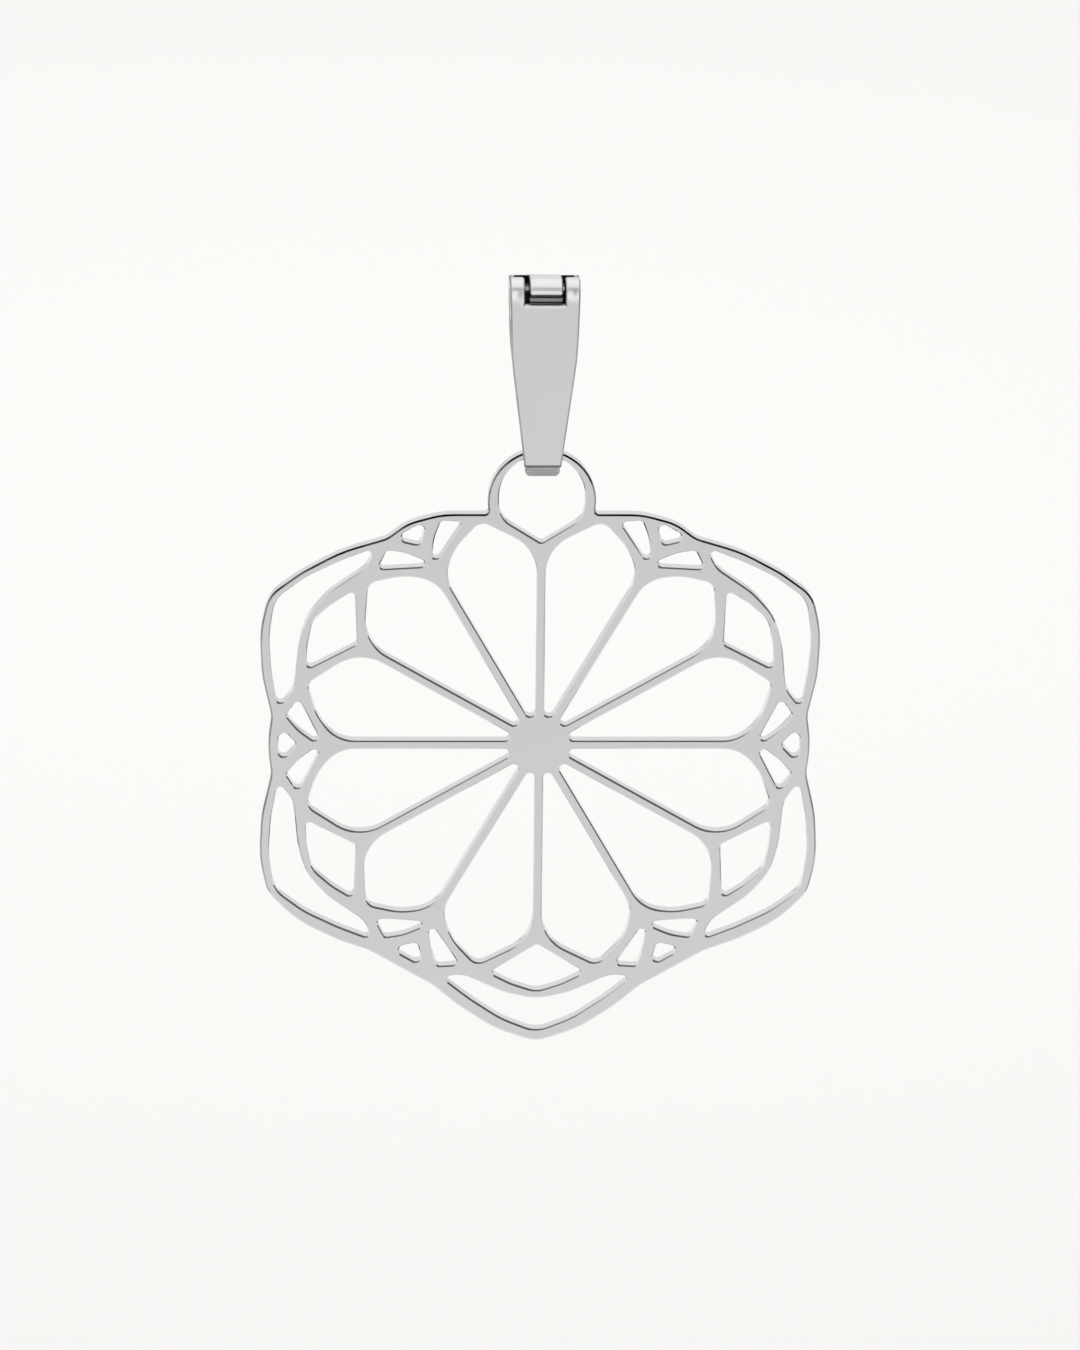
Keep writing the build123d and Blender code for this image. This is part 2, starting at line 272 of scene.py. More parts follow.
    def _dark_reflection_spot(self) -> bpy.types.NodeTree:
        """A soft painted dark reflection, longer one way than another, as a share that falls off from its
        centre.

        Returns:
            The group's node tree.
        """
        tree = self._start(
            "painted_dark_reflection_spot",
            [
                ("Place", "NodeSocketVector", 0.0),
                ("Centre", "NodeSocketVector", 0.0),
                ("Squeeze", "NodeSocketVector", 0.0),
                ("Reach", "NodeSocketFloat", 0.001),
                ("Depth", "NodeSocketFloat", 0.5),
            ],
            [("Share", "NodeSocketFloat")],
        )
        source, result = tree.nodes["source"], tree.nodes["result"]
        away = tree.nodes.new("ShaderNodeVectorMath")
        away.operation = "SUBTRACT"
        squeezed = tree.nodes.new("ShaderNodeVectorMath")
        squeezed.operation = "MULTIPLY"
        distance = tree.nodes.new("ShaderNodeVectorMath")
        distance.operation = "LENGTH"
        fade = tree.nodes.new("ShaderNodeMapRange")
        fade.interpolation_type = "SMOOTHSTEP"
        fade.inputs["To Max"].default_value = 0.0
        tree.links.new(source.outputs["Place"], away.inputs[0])
        tree.links.new(source.outputs["Centre"], away.inputs[1])
        tree.links.new(away.outputs["Vector"], squeezed.inputs[0])
        tree.links.new(source.outputs["Squeeze"], squeezed.inputs[1])
        tree.links.new(squeezed.outputs["Vector"], distance.inputs[0])
        tree.links.new(distance.outputs["Value"], fade.inputs["Value"])
        tree.links.new(source.outputs["Reach"], fade.inputs["From Max"])
        tree.links.new(source.outputs["Depth"], fade.inputs["To Min"])
        tree.links.new(fade.outputs["Result"], result.inputs["Share"])
        return tree


@dataclass(frozen=True)
class DarkReflectionSpot:
    """A soft painted dark reflection on the silver: its centre, how it is squeezed on each axis, and its
    strength.
    """

    centre: Point
    squeeze: Point = (1.0, 1.0, 0.55)
    reach: float = 0.25 * MM
    depth: float = 0.6


@dataclass(frozen=True)
class SilverFinish:
    """Polished silver: a bright tone, a slightly dulled one, and the marks of making and handling.

    Chosen edges are darkened with a painted shade, the gaps of the hinge and foot with a painted shade
    near black and a rougher gloss, and soft spots with painted dark reflections.
    """

    name: str
    buffed: BuffedAlong
    bright: Colour = (0.817, 0.822, 0.834, 1.0)
    dulled: Colour = (0.792, 0.797, 0.809, 1.0)
    # The painted shade along edges, then the painted shade near black in the gaps.
    edge_shade: Colour = (0.500, 0.503, 0.510, 1.0)
    recess_shade_colour: Colour = (0.012, 0.012, 0.013, 1.0)
    smoothest: float = 0.07
    roughest: float = 0.13
    recess_shade_roughness: float = 0.5
    mark_fineness: float = 5200.0
    cloud_fineness: float = 160.0
    scratch_fineness: float = 620.0
    scratch_spread: float = 0.5
    mark_depth: float = 0.0022 * MM
    mark_strength: float = 0.25
    dark_reflection_spots: tuple[DarkReflectionSpot, ...] = ()
    # Colour of the painted dark reflections.
    dark_reflection_colour: Colour = (0.26, 0.262, 0.268, 1.0)

    def build(self, groups: ShaderGroups) -> bpy.types.Material:
        """Make this finish's material from the shared groups.

        Args:
            groups: The shader node groups.

        Returns:
            The material.
        """
        material = bpy.data.materials.new(self.name)
        material.use_nodes = True
        tree = material.node_tree
        shader = tree.nodes["Principled BSDF"]
        shader.inputs["Metallic"].default_value = 1.0
        place = tree.nodes.new("ShaderNodeTexCoord").outputs["Object"]
        recess_shade = self._attribute(tree, RECESS_SHADE_ATTRIBUTE)
        scratches = self._placed(
            tree,
            groups.scratches,
            place,
            {"Fineness": self.scratch_fineness, "Spread": self.scratch_spread},
        )
        tone = self._placed(
            tree,
            groups.tone,
            place,
            {
                "Bright": self.bright,
                "Dulled": self.dulled,
                "Fineness": self.cloud_fineness,
                "Smoothest": self.smoothest,
                "Roughest": self.roughest,
            },
        )
        tree.links.new(scratches.outputs["Scratches"], tone.inputs["Scratches"])
        # Painted shade along chosen edges and painted dark reflections in spots go into the tone, then a
        # painted shade near black where the recess share is set.
        colour = self._painted_shade_and_reflections(tree, groups, place, tone.outputs["Color"])
        colour = self._mixed(tree, recess_shade, colour, self.recess_shade_colour)
        tree.links.new(colour, shader.inputs["Base Color"])
        gloss = tree.nodes.new("ShaderNodeMix")
        gloss.inputs["B"].default_value = self.recess_shade_roughness
        tree.links.new(recess_shade, gloss.inputs["Factor"])
        tree.links.new(tone.outputs["Roughness"], gloss.inputs["A"])
        tree.links.new(gloss.outputs["Result"], shader.inputs["Roughness"])
        relief = self._marked_relief(tree, groups, place, scratches.outputs["Scratches"])
        tree.links.new(relief, shader.inputs["Normal"])
        return material

    def _painted_shade_and_reflections(
        self,
        tree: bpy.types.NodeTree,
        groups: ShaderGroups,
        place: bpy.types.NodeSocket,
        colour: bpy.types.NodeSocket,
    ) -> bpy.types.NodeSocket:
        """Mix a painted shade into the tone along chosen edges, and painted dark reflections into the
        soft spots.

        Args:
            tree: The material's node tree.
            groups: The shader node groups.
            place: The socket of the piece's own coordinates.
            colour: The socket of the tone.

        Returns:
            The socket of the darkened tone.
        """
        edge_shade = self._placed(tree, groups.edge_shade, place, {})
        tree.links.new(self._attribute(tree, EDGE_SHADE_ATTRIBUTE), edge_shade.inputs["Edge"])
        colour = self._mixed(tree, edge_shade.outputs["Shade"], colour, self.edge_shade)
        for dark_spot in self.dark_reflection_spots:
            reflection_spot = self._placed(
                tree,
                groups.reflection_spot,
                place,
                {
                    "Centre": dark_spot.centre,
                    "Squeeze": dark_spot.squeeze,
                    "Reach": dark_spot.reach,
                    "Depth": dark_spot.depth,
                },
            )
            colour = self._mixed(tree, reflection_spot.outputs["Share"], colour, self.dark_reflection_colour)
        return colour

    def _marked_relief(
        self,
        tree: bpy.types.NodeTree,
        groups: ShaderGroups,
        place: bpy.types.NodeSocket,
        scratched: bpy.types.NodeSocket,
    ) -> bpy.types.NodeSocket:
        """Raise the buffing marks and sink the scratches.

        Args:
            tree: The material's node tree.
            groups: The shader node groups.
            place: The socket of the piece's own coordinates.
            scratched: The socket of the scratches.

        Returns:
            The socket of the surface's normal.
        """
        marks = self._placed(
            tree, groups.buffing, place, {"Squeeze": self.buffed.value, "Fineness": self.mark_fineness}
        )
        height = tree.nodes.new("ShaderNodeMath")
        height.operation = "SUBTRACT"
        tree.links.new(marks.outputs["Height"], height.inputs[0])
        tree.links.new(scratched, height.inputs[1])
        bump = tree.nodes.new("ShaderNodeBump")
        bump.inputs["Strength"].default_value = self.mark_strength
        bump.inputs["Distance"].default_value = self.mark_depth
        tree.links.new(height.outputs["Value"], bump.inputs["Height"])
        return bump.outputs["Normal"]

    @staticmethod
    def _attribute(tree: bpy.types.NodeTree, name: str) -> bpy.types.NodeSocket:
        """Read one of the piece's own attributes.

        Args:
            tree: The material's node tree.
            name: The attribute's name.

        Returns:
            The socket of its value.
        """
        node = tree.nodes.new("ShaderNodeAttribute")
        node.attribute_name = name
        return node.outputs["Fac"]

    @staticmethod
    def _placed(
        tree: bpy.types.NodeTree,
        group: bpy.types.NodeTree,
        place: bpy.types.NodeSocket,
        values: dict[str, float | Point | Colour],
    ) -> bpy.types.Node:
        """Place a shared group in the material with this finish's own values.

        Args:
            tree: The material's node tree.
            group: The shared group.
            place: The socket of the piece's own coordinates.
            values: The values by input name.

        Returns:
            The group's node.
        """
        node = tree.nodes.new("ShaderNodeGroup")
        node.node_tree = group
        tree.links.new(place, node.inputs["Place"])
        for label, value in values.items():
            node.inputs[label].default_value = value
        return node

    @staticmethod
    def _mixed(
        tree: bpy.types.NodeTree,
        share: bpy.types.NodeSocket,
        colour: bpy.types.NodeSocket,
        other: Colour,
    ) -> bpy.types.NodeSocket:
        """Mix a second colour into a first one.

        Args:
            tree: The material's node tree.
            share: The socket of the second colour's share.
            colour: The socket of the first colour.
            other: The second colour.

        Returns:
            The socket of the mixed colour.
        """
        mix = tree.nodes.new("ShaderNodeMix")
        mix.data_type = "RGBA"
        mix.inputs["B"].default_value = other
        tree.links.new(share, mix.inputs["Factor"])
        tree.links.new(colour, mix.inputs["A"])
        return mix.outputs["Result"]


@dataclass
class PolishedPiece:
    """One piece of the pendant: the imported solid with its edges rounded, in its own silver.

    Angles are in degrees, and a facing is a part of a face's normal, from -1 to 1.
    """

    node: str
    body: str
    slot: str
    finish: SilverFinish
    edge_round: float
    edge_steps: int = 4
    sharp_angle: float = 32.0
    crease_angle: float = 25.0
    side_facing: float = 0.35
    face_weight: int = 100
    merge_distance: float = 0.0004 * MM

    def build(self, solid: bpy.types.Object, groups: ShaderGroups) -> bpy.types.Object:
        """Make the piece, dress it and put it in the solid's place.

        Args:
            solid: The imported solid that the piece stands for.
            groups: The shader node groups.

        Returns:
            The piece.
        """
        shape = bmesh.new()
        shape.from_mesh(solid.data)
        bmesh.ops.remove_doubles(shape, verts=shape.verts, dist=self.merge_distance)
        # Per-face shares of the painted edge shade and of the painted recess shade.
        edge_shade = shape.faces.layers.float.new(EDGE_SHADE_ATTRIBUTE)
        recess_shade = shape.faces.layers.float.new(RECESS_SHADE_ATTRIBUTE)
        self._cut_across(shape)
        rounds = set(self.finish_edges(shape))
        shape.normal_update()
        for face in shape.faces:
            face[edge_shade] = self.edge_shade_share(face, face in rounds)
            face[recess_shade] = self.recess_shade_share(face, face in rounds)
            face.smooth = True
        for edge in shape.edges:
            edge.smooth = self.is_smooth(edge)
        mesh = bpy.data.meshes.new(self.node + "_silver")
        shape.to_mesh(mesh)
        shape.free()
        piece = bpy.data.objects.new(self.node + "_silver", mesh)
        bpy.context.scene.collection.objects.link(piece)
        weighted = piece.modifiers.new("even_faces", "WEIGHTED_NORMAL")
        weighted.weight = self.face_weight
        weighted.keep_sharp = True
        mesh.materials.append(self.finish.build(groups))
        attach(piece, self.body)
        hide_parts(self.node)
        return piece

    def finish_edges(self, shape: bmesh.types.BMesh) -> list[bmesh.types.BMFace]:
        """Round the outward edges.

        Args:
            shape: The piece's shape.

        Returns:
            The new faces.
        """
        limit = math.radians(self.sharp_angle)
        edges = [
            edge
            for edge in shape.edges
            if len(edge.link_faces) == 2 and edge.calc_face_angle_signed(0.0) > limit
        ]
        made = bmesh.ops.bevel(
            shape,
            geom=edges,
            offset=self.edge_round,
            offset_type="OFFSET",
            segments=self.edge_steps,
            profile=0.5,
            affect="EDGES",
            clamp_overlap=False,
            loop_slide=False,
            material=-1,
        )
        return made["faces"]

    def tone_borders(self) -> Sequence[float]:
        """List the places on X where a tone begins or ends in the middle of the solid's faces."""
        return ()

    def _cut_across(self, shape: bmesh.types.BMesh) -> None:
        """Cut the faces along the borders of the tones, so that each side can have its own.

        Args:
            shape: The piece's shape.
        """
        for across in self.tone_borders():
            everything = shape.verts[:] + shape.edges[:] + shape.faces[:]
            bmesh.ops.bisect_plane(
                shape, geom=everything, plane_co=(across, 0.0, 0.0), plane_no=(1.0, 0.0, 0.0)
            )

    def is_smooth(self, edge: bmesh.types.BMEdge) -> bool:
        """Say whether the shading runs smoothly over an edge."""
        return edge.calc_face_angle(math.pi) < math.radians(self.crease_angle)

    def edge_shade_share(self, face: bmesh.types.BMFace, rounded: bool) -> float:
        """Say how much painted shade a face's edge gets: the side edges' rounds get all of it."""
        return 1.0 if rounded and abs(face.normal.x) > self.side_facing else 0.0

    def recess_shade_share(self, face: bmesh.types.BMFace, rounded: bool) -> float:
        """Say how dark the painted recess shade is on a face."""
        return 0.0


@dataclass
class Rose(PolishedPiece):
    """The pierced rose: narrow facets along its front edges, and rounded edges behind.

    The facets are wider on the outline, which takes a painted shade near black, and on the inner edges
    that face up and to the right. There widening_fade holds two cosines of the angle from
    widest_direction: the one at which the widening starts, and the one from which it is full. The
    outline's sides take the least painted shade, more the further up a facet faces, and facets that face
    down take none. The thin dark lines on the upper edges are partly the dark strip overhead mirrored,
    and partly this painted shade.
    """

    half_sheet: float = 0.4 * MM
    facet: float = 0.068 * MM
    outline_widening: float = 0.4
    inner_widening: float = 0.35
    widest_direction: Point = (0.5, 0.0, 0.866)
    widening_fade: Span = (0.9, 0.96)
    least_edge_shade: float = 0.55
    lowest_facing: float = -0.35
    outline: set[bmesh.types.BMFace] = field(default_factory=set)

    def finish_edges(self, shape: bmesh.types.BMesh) -> list[bmesh.types.BMFace]:
        """Facet the front edges and round the back ones.

        Args:
            shape: The rose's shape.

        Returns:
            The new faces.
        """
        made = self._step_in(shape, -self.half_sheet, [(self.facet, -self.facet)])
        self.outline = self._outermost_ring(made)
        self._widen_facets(made)
        turns = [math.radians(90.0 * step / self.edge_steps) for step in range(self.edge_steps + 1)]
        steps = [
            (
                self.edge_round * (math.cos(before) - math.cos(after)),
                self.edge_round * (math.sin(after) - math.sin(before)),
            )
            for before, after in zip(turns, turns[1:])
        ]
        return made + self._step_in(shape, self.half_sheet, steps)

    @staticmethod
    def _outermost_ring(faces: list[bmesh.types.BMFace]) -> set[bmesh.types.BMFace]:
        """Pick the facets of the rose's own outline out of those that surround it and its openings.

        Args:
            faces: All the facets.

        Returns:
            The outline's facets.
        """
        among = set(faces)
        ring = {max(faces, key=lambda face: face.calc_center_median().x)}
        found = list(ring)
        while found:
            near = {other for vert in found.pop().verts for other in vert.link_faces} & among - ring
            ring |= near
            found += near
        return ring

    def _widen_facets(self, faces: list[bmesh.types.BMFace]) -> None:
        """Widen the outline's facets, and those inside that face up and to the right.

        A facet's inner edge moves further in and its outer edge further back, so its slope stays.

        Args:
            faces: The facets.
        """
        moves: dict[bmesh.types.BMVert, Vector] = {}
        for edge in {edge for face in faces for edge in face.edges}:
            inner, outer = sorted(edge.verts, key=lambda vert: vert.co.y)
            if outer.co.y - inner.co.y < self.merge_distance:
                continue
            step = inner.co - outer.co
            inward = Vector((step.x, 0.0, step.z))
            if self.outline.intersection(edge.link_faces):
                more = self.outline_widening
            else:
                none, full = self.widening_fade
                facing = -inward.normalized().dot(Vector(self.widest_direction))
                more = self.inner_widening * min(1.0, max(0.0, (facing - none) / (full - none)))
            moves[inner] = inward * more
            moves[outer] = Vector((0.0, -step.y, 0.0)) * more
        for vert, move in moves.items():
            vert.co += move

    def _step_in(
        self, shape: bmesh.types.BMesh, level: float, steps: list[Span]
    ) -> list[bmesh.types.BMFace]:
        """Sink a flat side of the sheet, then bring it back out while it is inset step by step.

        Args:
            shape: The rose's shape.
            level: The side's place along Y.
            steps: For each step, how far the side is inset and how far it then moves along Y.

        Returns:
            The faces of the steps.
        """
        side = [
            face
            for face in shape.faces
            if all(abs(vert.co.y - level) < self.merge_distance for vert in face.verts)
        ]
        flat = list({vert for face in side for vert in face.verts})
        bmesh.ops.translate(shape, verts=flat, vec=(0.0, -sum(rise for _, rise in steps), 0.0))
        made: list[bmesh.types.BMFace] = []
        for inset, rise in steps:
            ring = bmesh.ops.inset_region(
                shape, faces=side, thickness=inset, depth=0.0, use_boundary=True, use_even_offset=True
            )
            made += ring["faces"]
            flat = list({vert for face in side for vert in face.verts})
            bmesh.ops.translate(shape, verts=flat, vec=(0.0, rise, 0.0))
        return made

    def is_smooth(self, edge: bmesh.types.BMEdge) -> bool:
        """Say whether the shading runs smoothly over an edge: never from the flat front to a facet.

        Args:
            edge: The edge.

        Returns:
            Whether it is smooth.
        """
        flat = [
            all(vert.co.y < self.merge_distance - self.half_sheet for vert in face.verts)
            for face in edge.link_faces
        ]
        return len(set(flat)) == 1 and (all(flat) or super().is_smooth(edge))

    def edge_shade_share(self, face: bmesh.types.BMFace, rounded: bool) -> float:
        """Say how much painted shade a facet gets: on the outline, more the further up it faces.

        Args:
            face: The face.
            rounded: Whether it belongs to a finished edge; not used here.

        Returns:
            The share, from 0 to 1.
        """
        if face not in self.outline or face.normal.z < self.lowest_facing:
            return 0.0
        return min(1.0, self.least_edge_shade + max(0.0, face.normal.z))


@dataclass
class FrontLeaf(PolishedPiece):
    """The bail's front leaf, with a painted shade between its ears and along the turn of its foot.

    The ears' inner cheeks lie within cheek of the middle and above hinge_foot, and the floor between
    them lies behind floor_front. The foot's turn faces ahead and slightly down, within foot_turn.
    """

    cheek: float = 1.25 * MM
    cheek_facing: float = 0.7
    hinge_foot: float = 0.8 * MM
    floor_front: float = -1.75 * MM
    foot_top: float = -6.7 * MM
    foot_turn: Span = (-0.5, -0.12)
    foot_edge_shade: float = 0.8
    foot_turn_shade: float = 0.6

    def edge_shade_share(self, face: bmesh.types.BMFace, rounded: bool) -> float:
        """Say how much painted shade a face gets: its side edges and the under side of its foot.

        Args:
            face: The face.
            rounded: Whether it belongs to a finished edge.

        Returns:
            The share, from 0 to 1.
        """
        if face.calc_center_median().z < self.foot_top and face.normal.z < self.foot_turn[1]:
            return self.foot_edge_shade
        return super().edge_shade_share(face, rounded)

    def recess_shade_share(self, face: bmesh.types.BMFace, rounded: bool) -> float:
        """Say how dark the painted shade is: full between the ears, and lighter where the foot turns
        back.

        Args:
            face: The face.
            rounded: Whether it belongs to a finished edge.

        Returns:
            The share, from 0 to 1.
        """
        middle = face.calc_center_median()
        if middle.z < self.foot_top:
            steepest, slightest = self.foot_turn
            turning = steepest < face.normal.z < slightest and face.normal.y < 0.0
            return self.foot_turn_shade if turning else 0.0
        if abs(middle.x) > self.cheek or middle.z < self.hinge_foot or rounded:
            return 0.0
        return 1.0 if abs(face.normal.x) > self.cheek_facing or middle.y > self.floor_front else 0.0


@dataclass
class BackLeaf(PolishedPiece):
    """The bail's back leaf, with a painted shade round its tongue and on its shoulders, and a painted
    edge shade on its lip.

    The facings are limits on a face's normal. They tell the tongue's sides and under side, the fronts of
    the shoulders, and the lip's front and under side from the faces round them.
    """

    tongue_half_width: float = 1.0 * MM
    tongue_side_facing: float = 0.7
    tongue_level_facing: float = -0.75
    tongue_slope_facing: Span = (-0.6, -0.2)
    tongue_recess_shade: float = 0.85
    shoulder_fade: float = 1.6 * MM
    shoulder_facing: float = -0.5
    shoulder_recess_shade: float = 0.3
    hinge_foot: float = 0.8 * MM
    lip_top: float = -7.2 * MM
    lip_facing: Point = (0.7, 0.3, 0.5)
    lip_edge_shade: float = 0.9

    def tone_borders(self) -> Sequence[float]:
        """List where the painted shade on the shoulders fades."""
        return (-self.shoulder_fade, self.shoulder_fade)

    def edge_shade_share(self, face: bmesh.types.BMFace, rounded: bool) -> float:
        """Say how much painted shade a face gets: its side edges, and its lip ahead and below.

        Args:
            face: The face.
            rounded: Whether it belongs to a finished edge.

        Returns:
            The share, from 0 to 1.
        """
        aside, behind, above = self.lip_facing
        ahead_or_below = face.normal.y < behind and face.normal.z < above and abs(face.normal.x) < aside
        if face.calc_center_median().z < self.lip_top and ahead_or_below:
            return self.lip_edge_shade
        return super().edge_shade_share(face, rounded)

    def recess_shade_share(self, face: bmesh.types.BMFace, rounded: bool) -> float:
        """Say how dark the painted shade is on the tongue's sides, under it, and on the shoulders' ends.

        Args:
            face: The face.
            rounded: Whether it belongs to a finished edge.

        Returns:
            The share, from 0 to 1.
        """
        middle = face.calc_center_median()
        if middle.z < self.hinge_foot:
            return 0.0
        if abs(middle.x) < self.tongue_half_width:
            if abs(face.normal.x) > self.tongue_side_facing and not rounded:
                return 1.0
            ahead, below = self.tongue_slope_facing
            sloping = face.normal.z < below and face.normal.y > ahead
            return self.tongue_recess_shade if face.normal.z < self.tongue_level_facing or sloping else 0.0
        if face.normal.y > self.shoulder_facing:
            return 0.0
        return 1.0 if abs(middle.x) < self.shoulder_fade else self.shoulder_recess_shade


@dataclass
class Pin(PolishedPiece):
    """The hinge pin, in a dark painted shade all over, and near black where it crosses the gaps beside
    the tongue.
    """

    gaps: tuple[Span, ...] = ((-1.15 * MM, -0.8 * MM), (0.92 * MM, 1.15 * MM))

    def tone_borders(self) -> Sequence[float]:
        """List where the gaps begin and end."""
        return [place for gap in self.gaps for place in gap]

    def recess_shade_share(self, face: bmesh.types.BMFace, rounded: bool) -> float:
        """Say how dark the painted shade is: full in the gaps, and none elsewhere."""
        across = face.calc_center_median().x
        return 1.0 if any(start < across < end for start, end in self.gaps) else 0.0


@dataclass
class Pendant:
    """The pendant's four pieces, from the rose down to the pin."""

    groups: ShaderGroups
    pieces: list[PolishedPiece] = field(default_factory=list)

    def __post_init__(self) -> None:
        """List the pieces with their edges' rounds and finishes."""
        rose_silver = SilverFinish(
            "rose_silver",
            BuffedAlong.WIDTH,
            bright=(0.842, 0.847, 0.859, 1.0),
            dulled=(0.820, 0.825, 0.837, 1.0),
            # The rose's outline facets take a painted shade near black.
            edge_shade=(0.060, 0.061, 0.062, 1.0),
        )
        front_silver = SilverFinish(
            "front_leaf_silver",
            BuffedAlong.LENGTH,
            # A painted shade on the leaf's side edges and the under side of its foot.
            edge_shade=(0.380, 0.382, 0.388, 1.0),
            smoothest=0.3,
            roughest=0.36,
            # Painted dark reflections on the ears.
            dark_reflection_spots=(
                DarkReflectionSpot((-1.33 * MM, -1.9 * MM, 2.62 * MM), reach=0.28 * MM),
                DarkReflectionSpot((1.58 * MM, -1.83 * MM, 2.73 * MM), reach=0.24 * MM),
            ),
        )
        back_silver = SilverFinish(
            "back_leaf_silver",
            BuffedAlong.WIDTH,
            # A painted shade on the leaf's side edges and its lip.
            edge_shade=(0.380, 0.382, 0.388, 1.0),
            smoothest=0.3,
            roughest=0.36,
            # Painted dark reflections on the tongue.
            dark_reflection_spots=(
                DarkReflectionSpot(
                    (-0.19 * MM, -0.78 * MM, 2.95 * MM),
                    squeeze=(0.42, 1.0, 1.0),
                    reach=0.17 * MM,
                    depth=0.55,
                ),
                DarkReflectionSpot(
                    (0.08 * MM, -1.13 * MM, 2.75 * MM),
                    squeeze=(0.24, 1.0, 1.0),
                    reach=0.17 * MM,
                    depth=0.5,
                ),
            ),
        )
        pin_painted_shade_silver = SilverFinish(
            "pin_painted_shade_silver",
            BuffedAlong.ROUND,
            # The pin's bright and dulled tones are kept dark: a painted shade, as it sits in shadow under
            # the tongue.
            bright=(0.25, 0.252, 0.256, 1.0),
            dulled=(0.21, 0.212, 0.216, 1.0),
            smoothest=0.2,
            roughest=0.3,
        )
        self.pieces = [
            Rose("rose_window", "rose", "rose_metal", rose_silver, edge_round=0.07 * MM),
            FrontLeaf("bail_front", "bail", "bail_metal", front_silver, edge_round=0.15 * MM),
            BackLeaf("bail_back", "clip", "bail_metal", back_silver, edge_round=0.12 * MM),
            Pin("hinge_pin", "bail", "pin_metal", pin_painted_shade_silver, edge_round=0.08 * MM),
        ]

    def build(self, nodes: dict[str, bpy.types.Object]) -> None:
        """Build every piece and report it.

        Args:
            nodes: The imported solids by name.
        """
        for piece in self.pieces:
            made = piece.build(nodes[piece.node], self.groups)
            LOG.info("%s: %d faces", made.name, len(made.data.polygons))


@dataclass
class PhotoCamera:
    """The camera that took the photograph, found from the pendant's hub and its outline.

    Angles are in degrees, and the lens and the sensor in millimetres.
    """

    hub: Point = (0.0, 0.0, -23.083 * MM)
    distance: float = 566.0 * MM
    azimuth: float = -2.1
    elevation: float = 18.56
    roll: float = 0.66
    look_up: float = 0.37
    look_right: float = 0.005
    lens: float = 279.8
    sensor_width: float = 36.0
    clip_start: float = 0.01
    clip_end: float = 50.0

    def build(self) -> bpy.types.Object:
        """Place the camera and make it the scene's own.

        Returns:
            The camera.
        """
        azimuth, elevation = math.radians(self.azimuth), math.radians(self.elevation)
        offset = Vector(
            (
                math.sin(azimuth) * math.cos(elevation),
                -math.cos(azimuth) * math.cos(elevation),
                math.sin(elevation),
            )
        )
        data = bpy.data.cameras.new("photo_camera")
        data.lens = self.lens
        data.sensor_width = self.sensor_width
        data.clip_start = self.clip_start
        data.clip_end = self.clip_end
        camera = bpy.data.objects.new("photo_camera", data)
        bpy.context.scene.collection.objects.link(camera)
        turn = (-offset).to_track_quat("-Z", "Y")
        turn @= Quaternion((0, 0, 1), math.radians(self.roll))
        turn @= Quaternion((1, 0, 0), math.radians(self.look_up))
        turn @= Quaternion((0, 1, 0), -math.radians(self.look_right))
        place = Vector(self.hub) + offset * self.distance
        camera.matrix_world = Matrix.Translation(place) @ turn.to_matrix().to_4x4()
        bpy.context.scene.camera = camera
        return camera


@dataclass(frozen=True)
class SoftBox:
    """A soft rectangular light that hangs level over a part of the floor, unseen and unmirrored."""

    name: str
    size: Span
    place: Point
    power: float

    def build(self) -> bpy.types.Object:
        """Hang the light.

        Returns:
            The light.
        """
        data = bpy.data.lights.new(self.name, "AREA")
        data.shape = "RECTANGLE"
        data.size, data.size_y = self.size
        data.energy = self.power
        light = bpy.data.objects.new(self.name, data)
        light.location = self.place
        light.visible_camera = False
        light.visible_glossy = False
        bpy.context.scene.collection.objects.link(light)
        return light


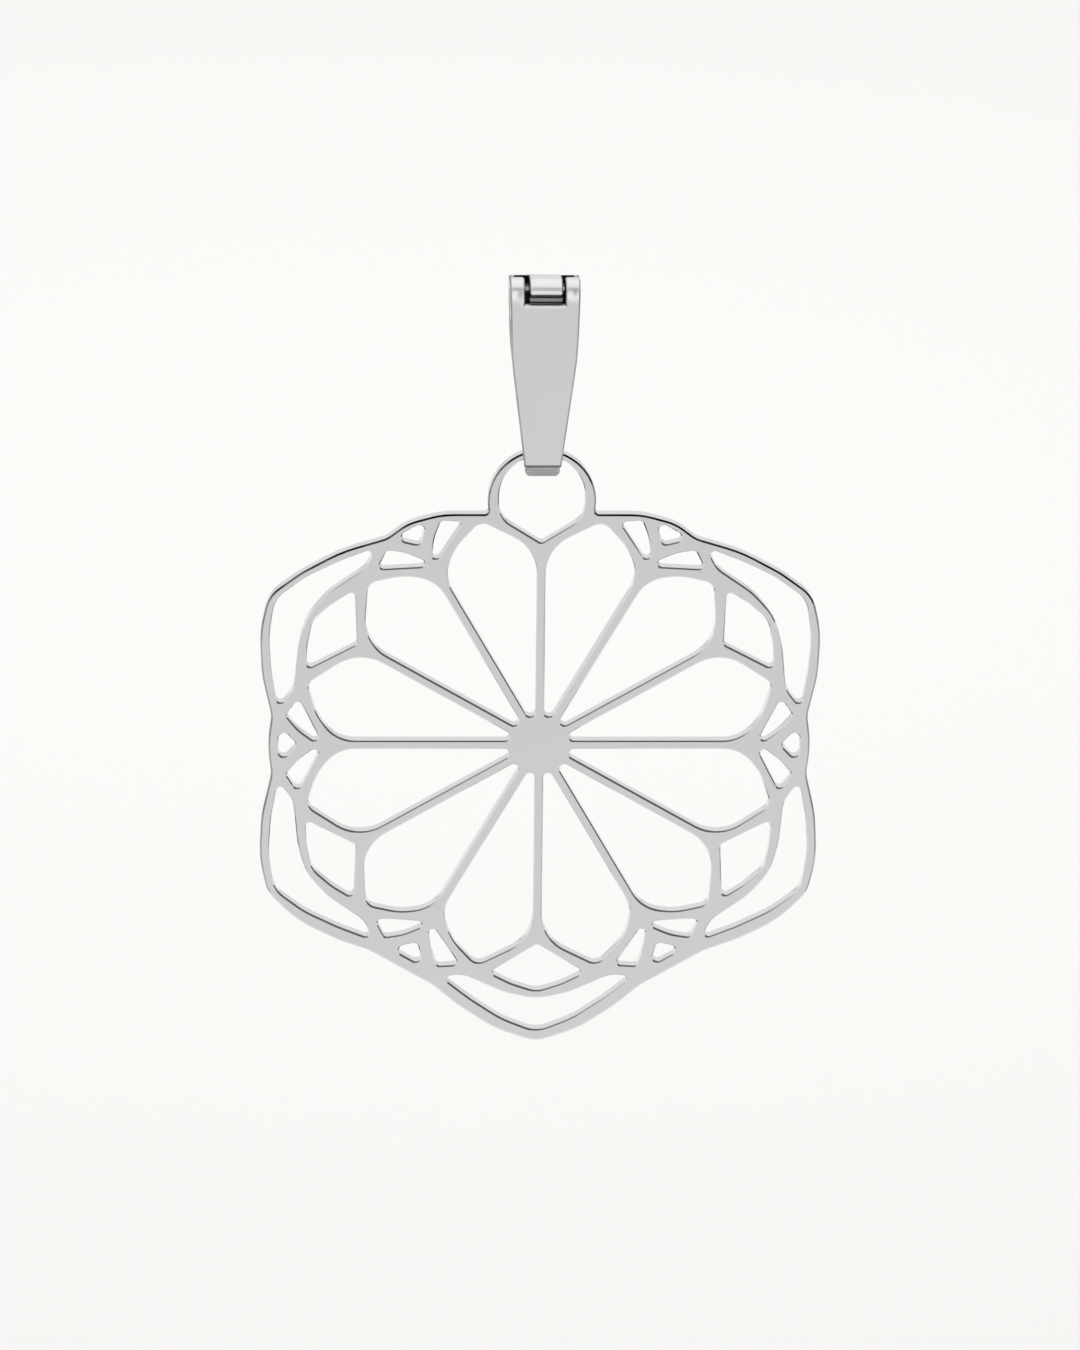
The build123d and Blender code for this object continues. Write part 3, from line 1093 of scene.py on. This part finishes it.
@dataclass
class Studio:
    """A plain pale floor under soft light, in a bright room with one dark strip overhead.

    The strip runs from side to side, a little in front of the pendant, and it is darkest on the right.
    The narrow facets of the rose's upper edges mirror it, which draws their thin dark lines; on the
    rose's outline a painted shade darkens them further. The room's spans are parts of a unit direction:
    along X for the strip's sides and end, along Y for front to back, and along Z for where the walls
    brighten and where the strip fades above the floor.
    """

    floor_level: float = -120.0 * MM
    floor_radius: float = 6.0
    floor_sides: int = 96
    floor_colour: Colour = (0.749, 0.742, 0.728, 1.0)
    back_box: SoftBox = SoftBox("back_softbox", (0.5, 0.66), (0.0, 0.355, 0.24), power=0.95)
    low_radiance: float = 0.8
    high_radiance: float = 1.06
    front_to_back: Span = (-0.1, 0.1)
    walls_start: Span = (-0.02, 0.28)
    walls_end: Span = (0.45, 0.68)
    strip_sides: Span = (-0.6, 0.4)
    strip_radiance: Span = (0.26, 0.01)
    strip_end: Span = (-0.9, -0.44)
    strip_end_radiance: float = 0.12
    strip_lean: float = 0.25
    strip_offset: float = 0.08
    strip_half_width: float = 0.13
    strip_blend: float = 0.05
    strip_feet: Span = (0.02, 0.1)

    def build(self) -> None:
        """Make the floor, the soft light and the room's glow."""
        self._floor()
        self.back_box.build()
        self._room()
        bpy.context.scene.view_settings.view_transform = "Standard"

    def _floor(self) -> None:
        """Lay the pale floor below the hanging pendant."""
        disc = bmesh.new()
        bmesh.ops.create_circle(
            disc, cap_ends=True, segments=self.floor_sides, radius=self.floor_radius
        )
        bmesh.ops.translate(disc, verts=disc.verts, vec=(0.0, 0.0, self.floor_level))
        mesh = bpy.data.meshes.new("floor")
        disc.to_mesh(mesh)
        disc.free()
        floor = bpy.data.objects.new("floor", mesh)
        bpy.context.scene.collection.objects.link(floor)
        material = bpy.data.materials.new("pale_floor")
        material.use_nodes = True
        shader = material.node_tree.nodes["Principled BSDF"]
        shader.inputs["Base Color"].default_value = self.floor_colour
        shader.inputs["Roughness"].default_value = 1.0
        shader.inputs["Specular IOR Level"].default_value = 0.0
        mesh.materials.append(material)

    def _room(self) -> None:
        """Light the room all round, brighter higher up, apart from the dark strip overhead."""
        world = bpy.data.worlds.new("studio_room")
        bpy.context.scene.world = world
        world.use_nodes = True
        tree = world.node_tree
        direction = tree.nodes.new("ShaderNodeTexCoord")
        parts = tree.nodes.new("ShaderNodeSeparateXYZ")
        tree.links.new(direction.outputs["Generated"], parts.inputs["Vector"])
        across, along, up = (parts.outputs[axis] for axis in "XYZ")
        walls_start = self._range(tree, along, self.front_to_back, self.walls_start)
        walls_end = self._range(tree, along, self.front_to_back, self.walls_end)
        walls = self._range(tree, up, (walls_start, walls_end), (self.low_radiance, self.high_radiance))
        middle = self._range(tree, across, self.strip_sides, self.strip_radiance)
        end = self._range(tree, across, self.strip_end, (self.low_radiance, self.strip_end_radiance))
        strip = self._sum(tree, "MAXIMUM", middle, end)
        leaned = self._sum(tree, "MULTIPLY", up, self.strip_lean)
        shifted = self._sum(tree, "ADD", leaned, self.strip_offset)
        aside = self._sum(tree, "ABSOLUTE", self._sum(tree, "ADD", along, shifted), 0.0)
        # Low down, one is added to the distance from the strip, so the strip ends above the floor.
        low = self._range(tree, up, self.strip_feet, (1.0, 0.0))
        distance = self._sum(tree, "ADD", aside, low)
        border = (self.strip_half_width - self.strip_blend, self.strip_half_width + self.strip_blend)
        glow = self._range(tree, distance, border, (strip, walls))
        background = tree.nodes["Background"]
        background.inputs["Color"].default_value = (1.0, 1.0, 1.0, 1.0)
        tree.links.new(glow, background.inputs["Strength"])

    @staticmethod
    def _range(
        tree: bpy.types.NodeTree,
        value: bpy.types.NodeSocket,
        start: tuple[float | bpy.types.NodeSocket, float | bpy.types.NodeSocket],
        end: tuple[float | bpy.types.NodeSocket, float | bpy.types.NodeSocket],
    ) -> bpy.types.NodeSocket:
        """Carry a number smoothly from one range to another.

        Args:
            tree: The world's node tree.
            value: The number's socket.
            start: The range that it comes from, as numbers or sockets.
            end: The range that it goes to, as numbers or sockets.

        Returns:
            The result's socket.
        """
        node = tree.nodes.new("ShaderNodeMapRange")
        node.interpolation_type = "SMOOTHSTEP"
        tree.links.new(value, node.inputs["Value"])
        for label, limit in zip(("From Min", "From Max", "To Min", "To Max"), start + end):
            if isinstance(limit, bpy.types.NodeSocket):
                tree.links.new(limit, node.inputs[label])
            else:
                node.inputs[label].default_value = limit
        return node.outputs["Result"]

    @staticmethod
    def _sum(
        tree: bpy.types.NodeTree,
        operation: str,
        value: bpy.types.NodeSocket,
        other: bpy.types.NodeSocket | float,
    ) -> bpy.types.NodeSocket:
        """Place one sum in the world's tree.

        Args:
            tree: The world's node tree.
            operation: The kind of sum.
            value: The first number's socket.
            other: The second number, or its socket.

        Returns:
            The result's socket.
        """
        node = tree.nodes.new("ShaderNodeMath")
        node.operation = operation
        tree.links.new(value, node.inputs[0])
        if isinstance(other, bpy.types.NodeSocket):
            tree.links.new(other, node.inputs[1])
        else:
            node.inputs[1].default_value = other
        return node.outputs["Value"]


def main() -> None:
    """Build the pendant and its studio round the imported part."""
    logging.basicConfig(level=logging.INFO, format="%(name)s %(message)s")
    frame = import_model()
    PhotoCamera().build()
    Studio().build()
    Pendant(ShaderGroups()).build(frame["nodes"])
    LOG.info("camera, studio and pendant are in place")


if __name__ == "__main__":
    main()
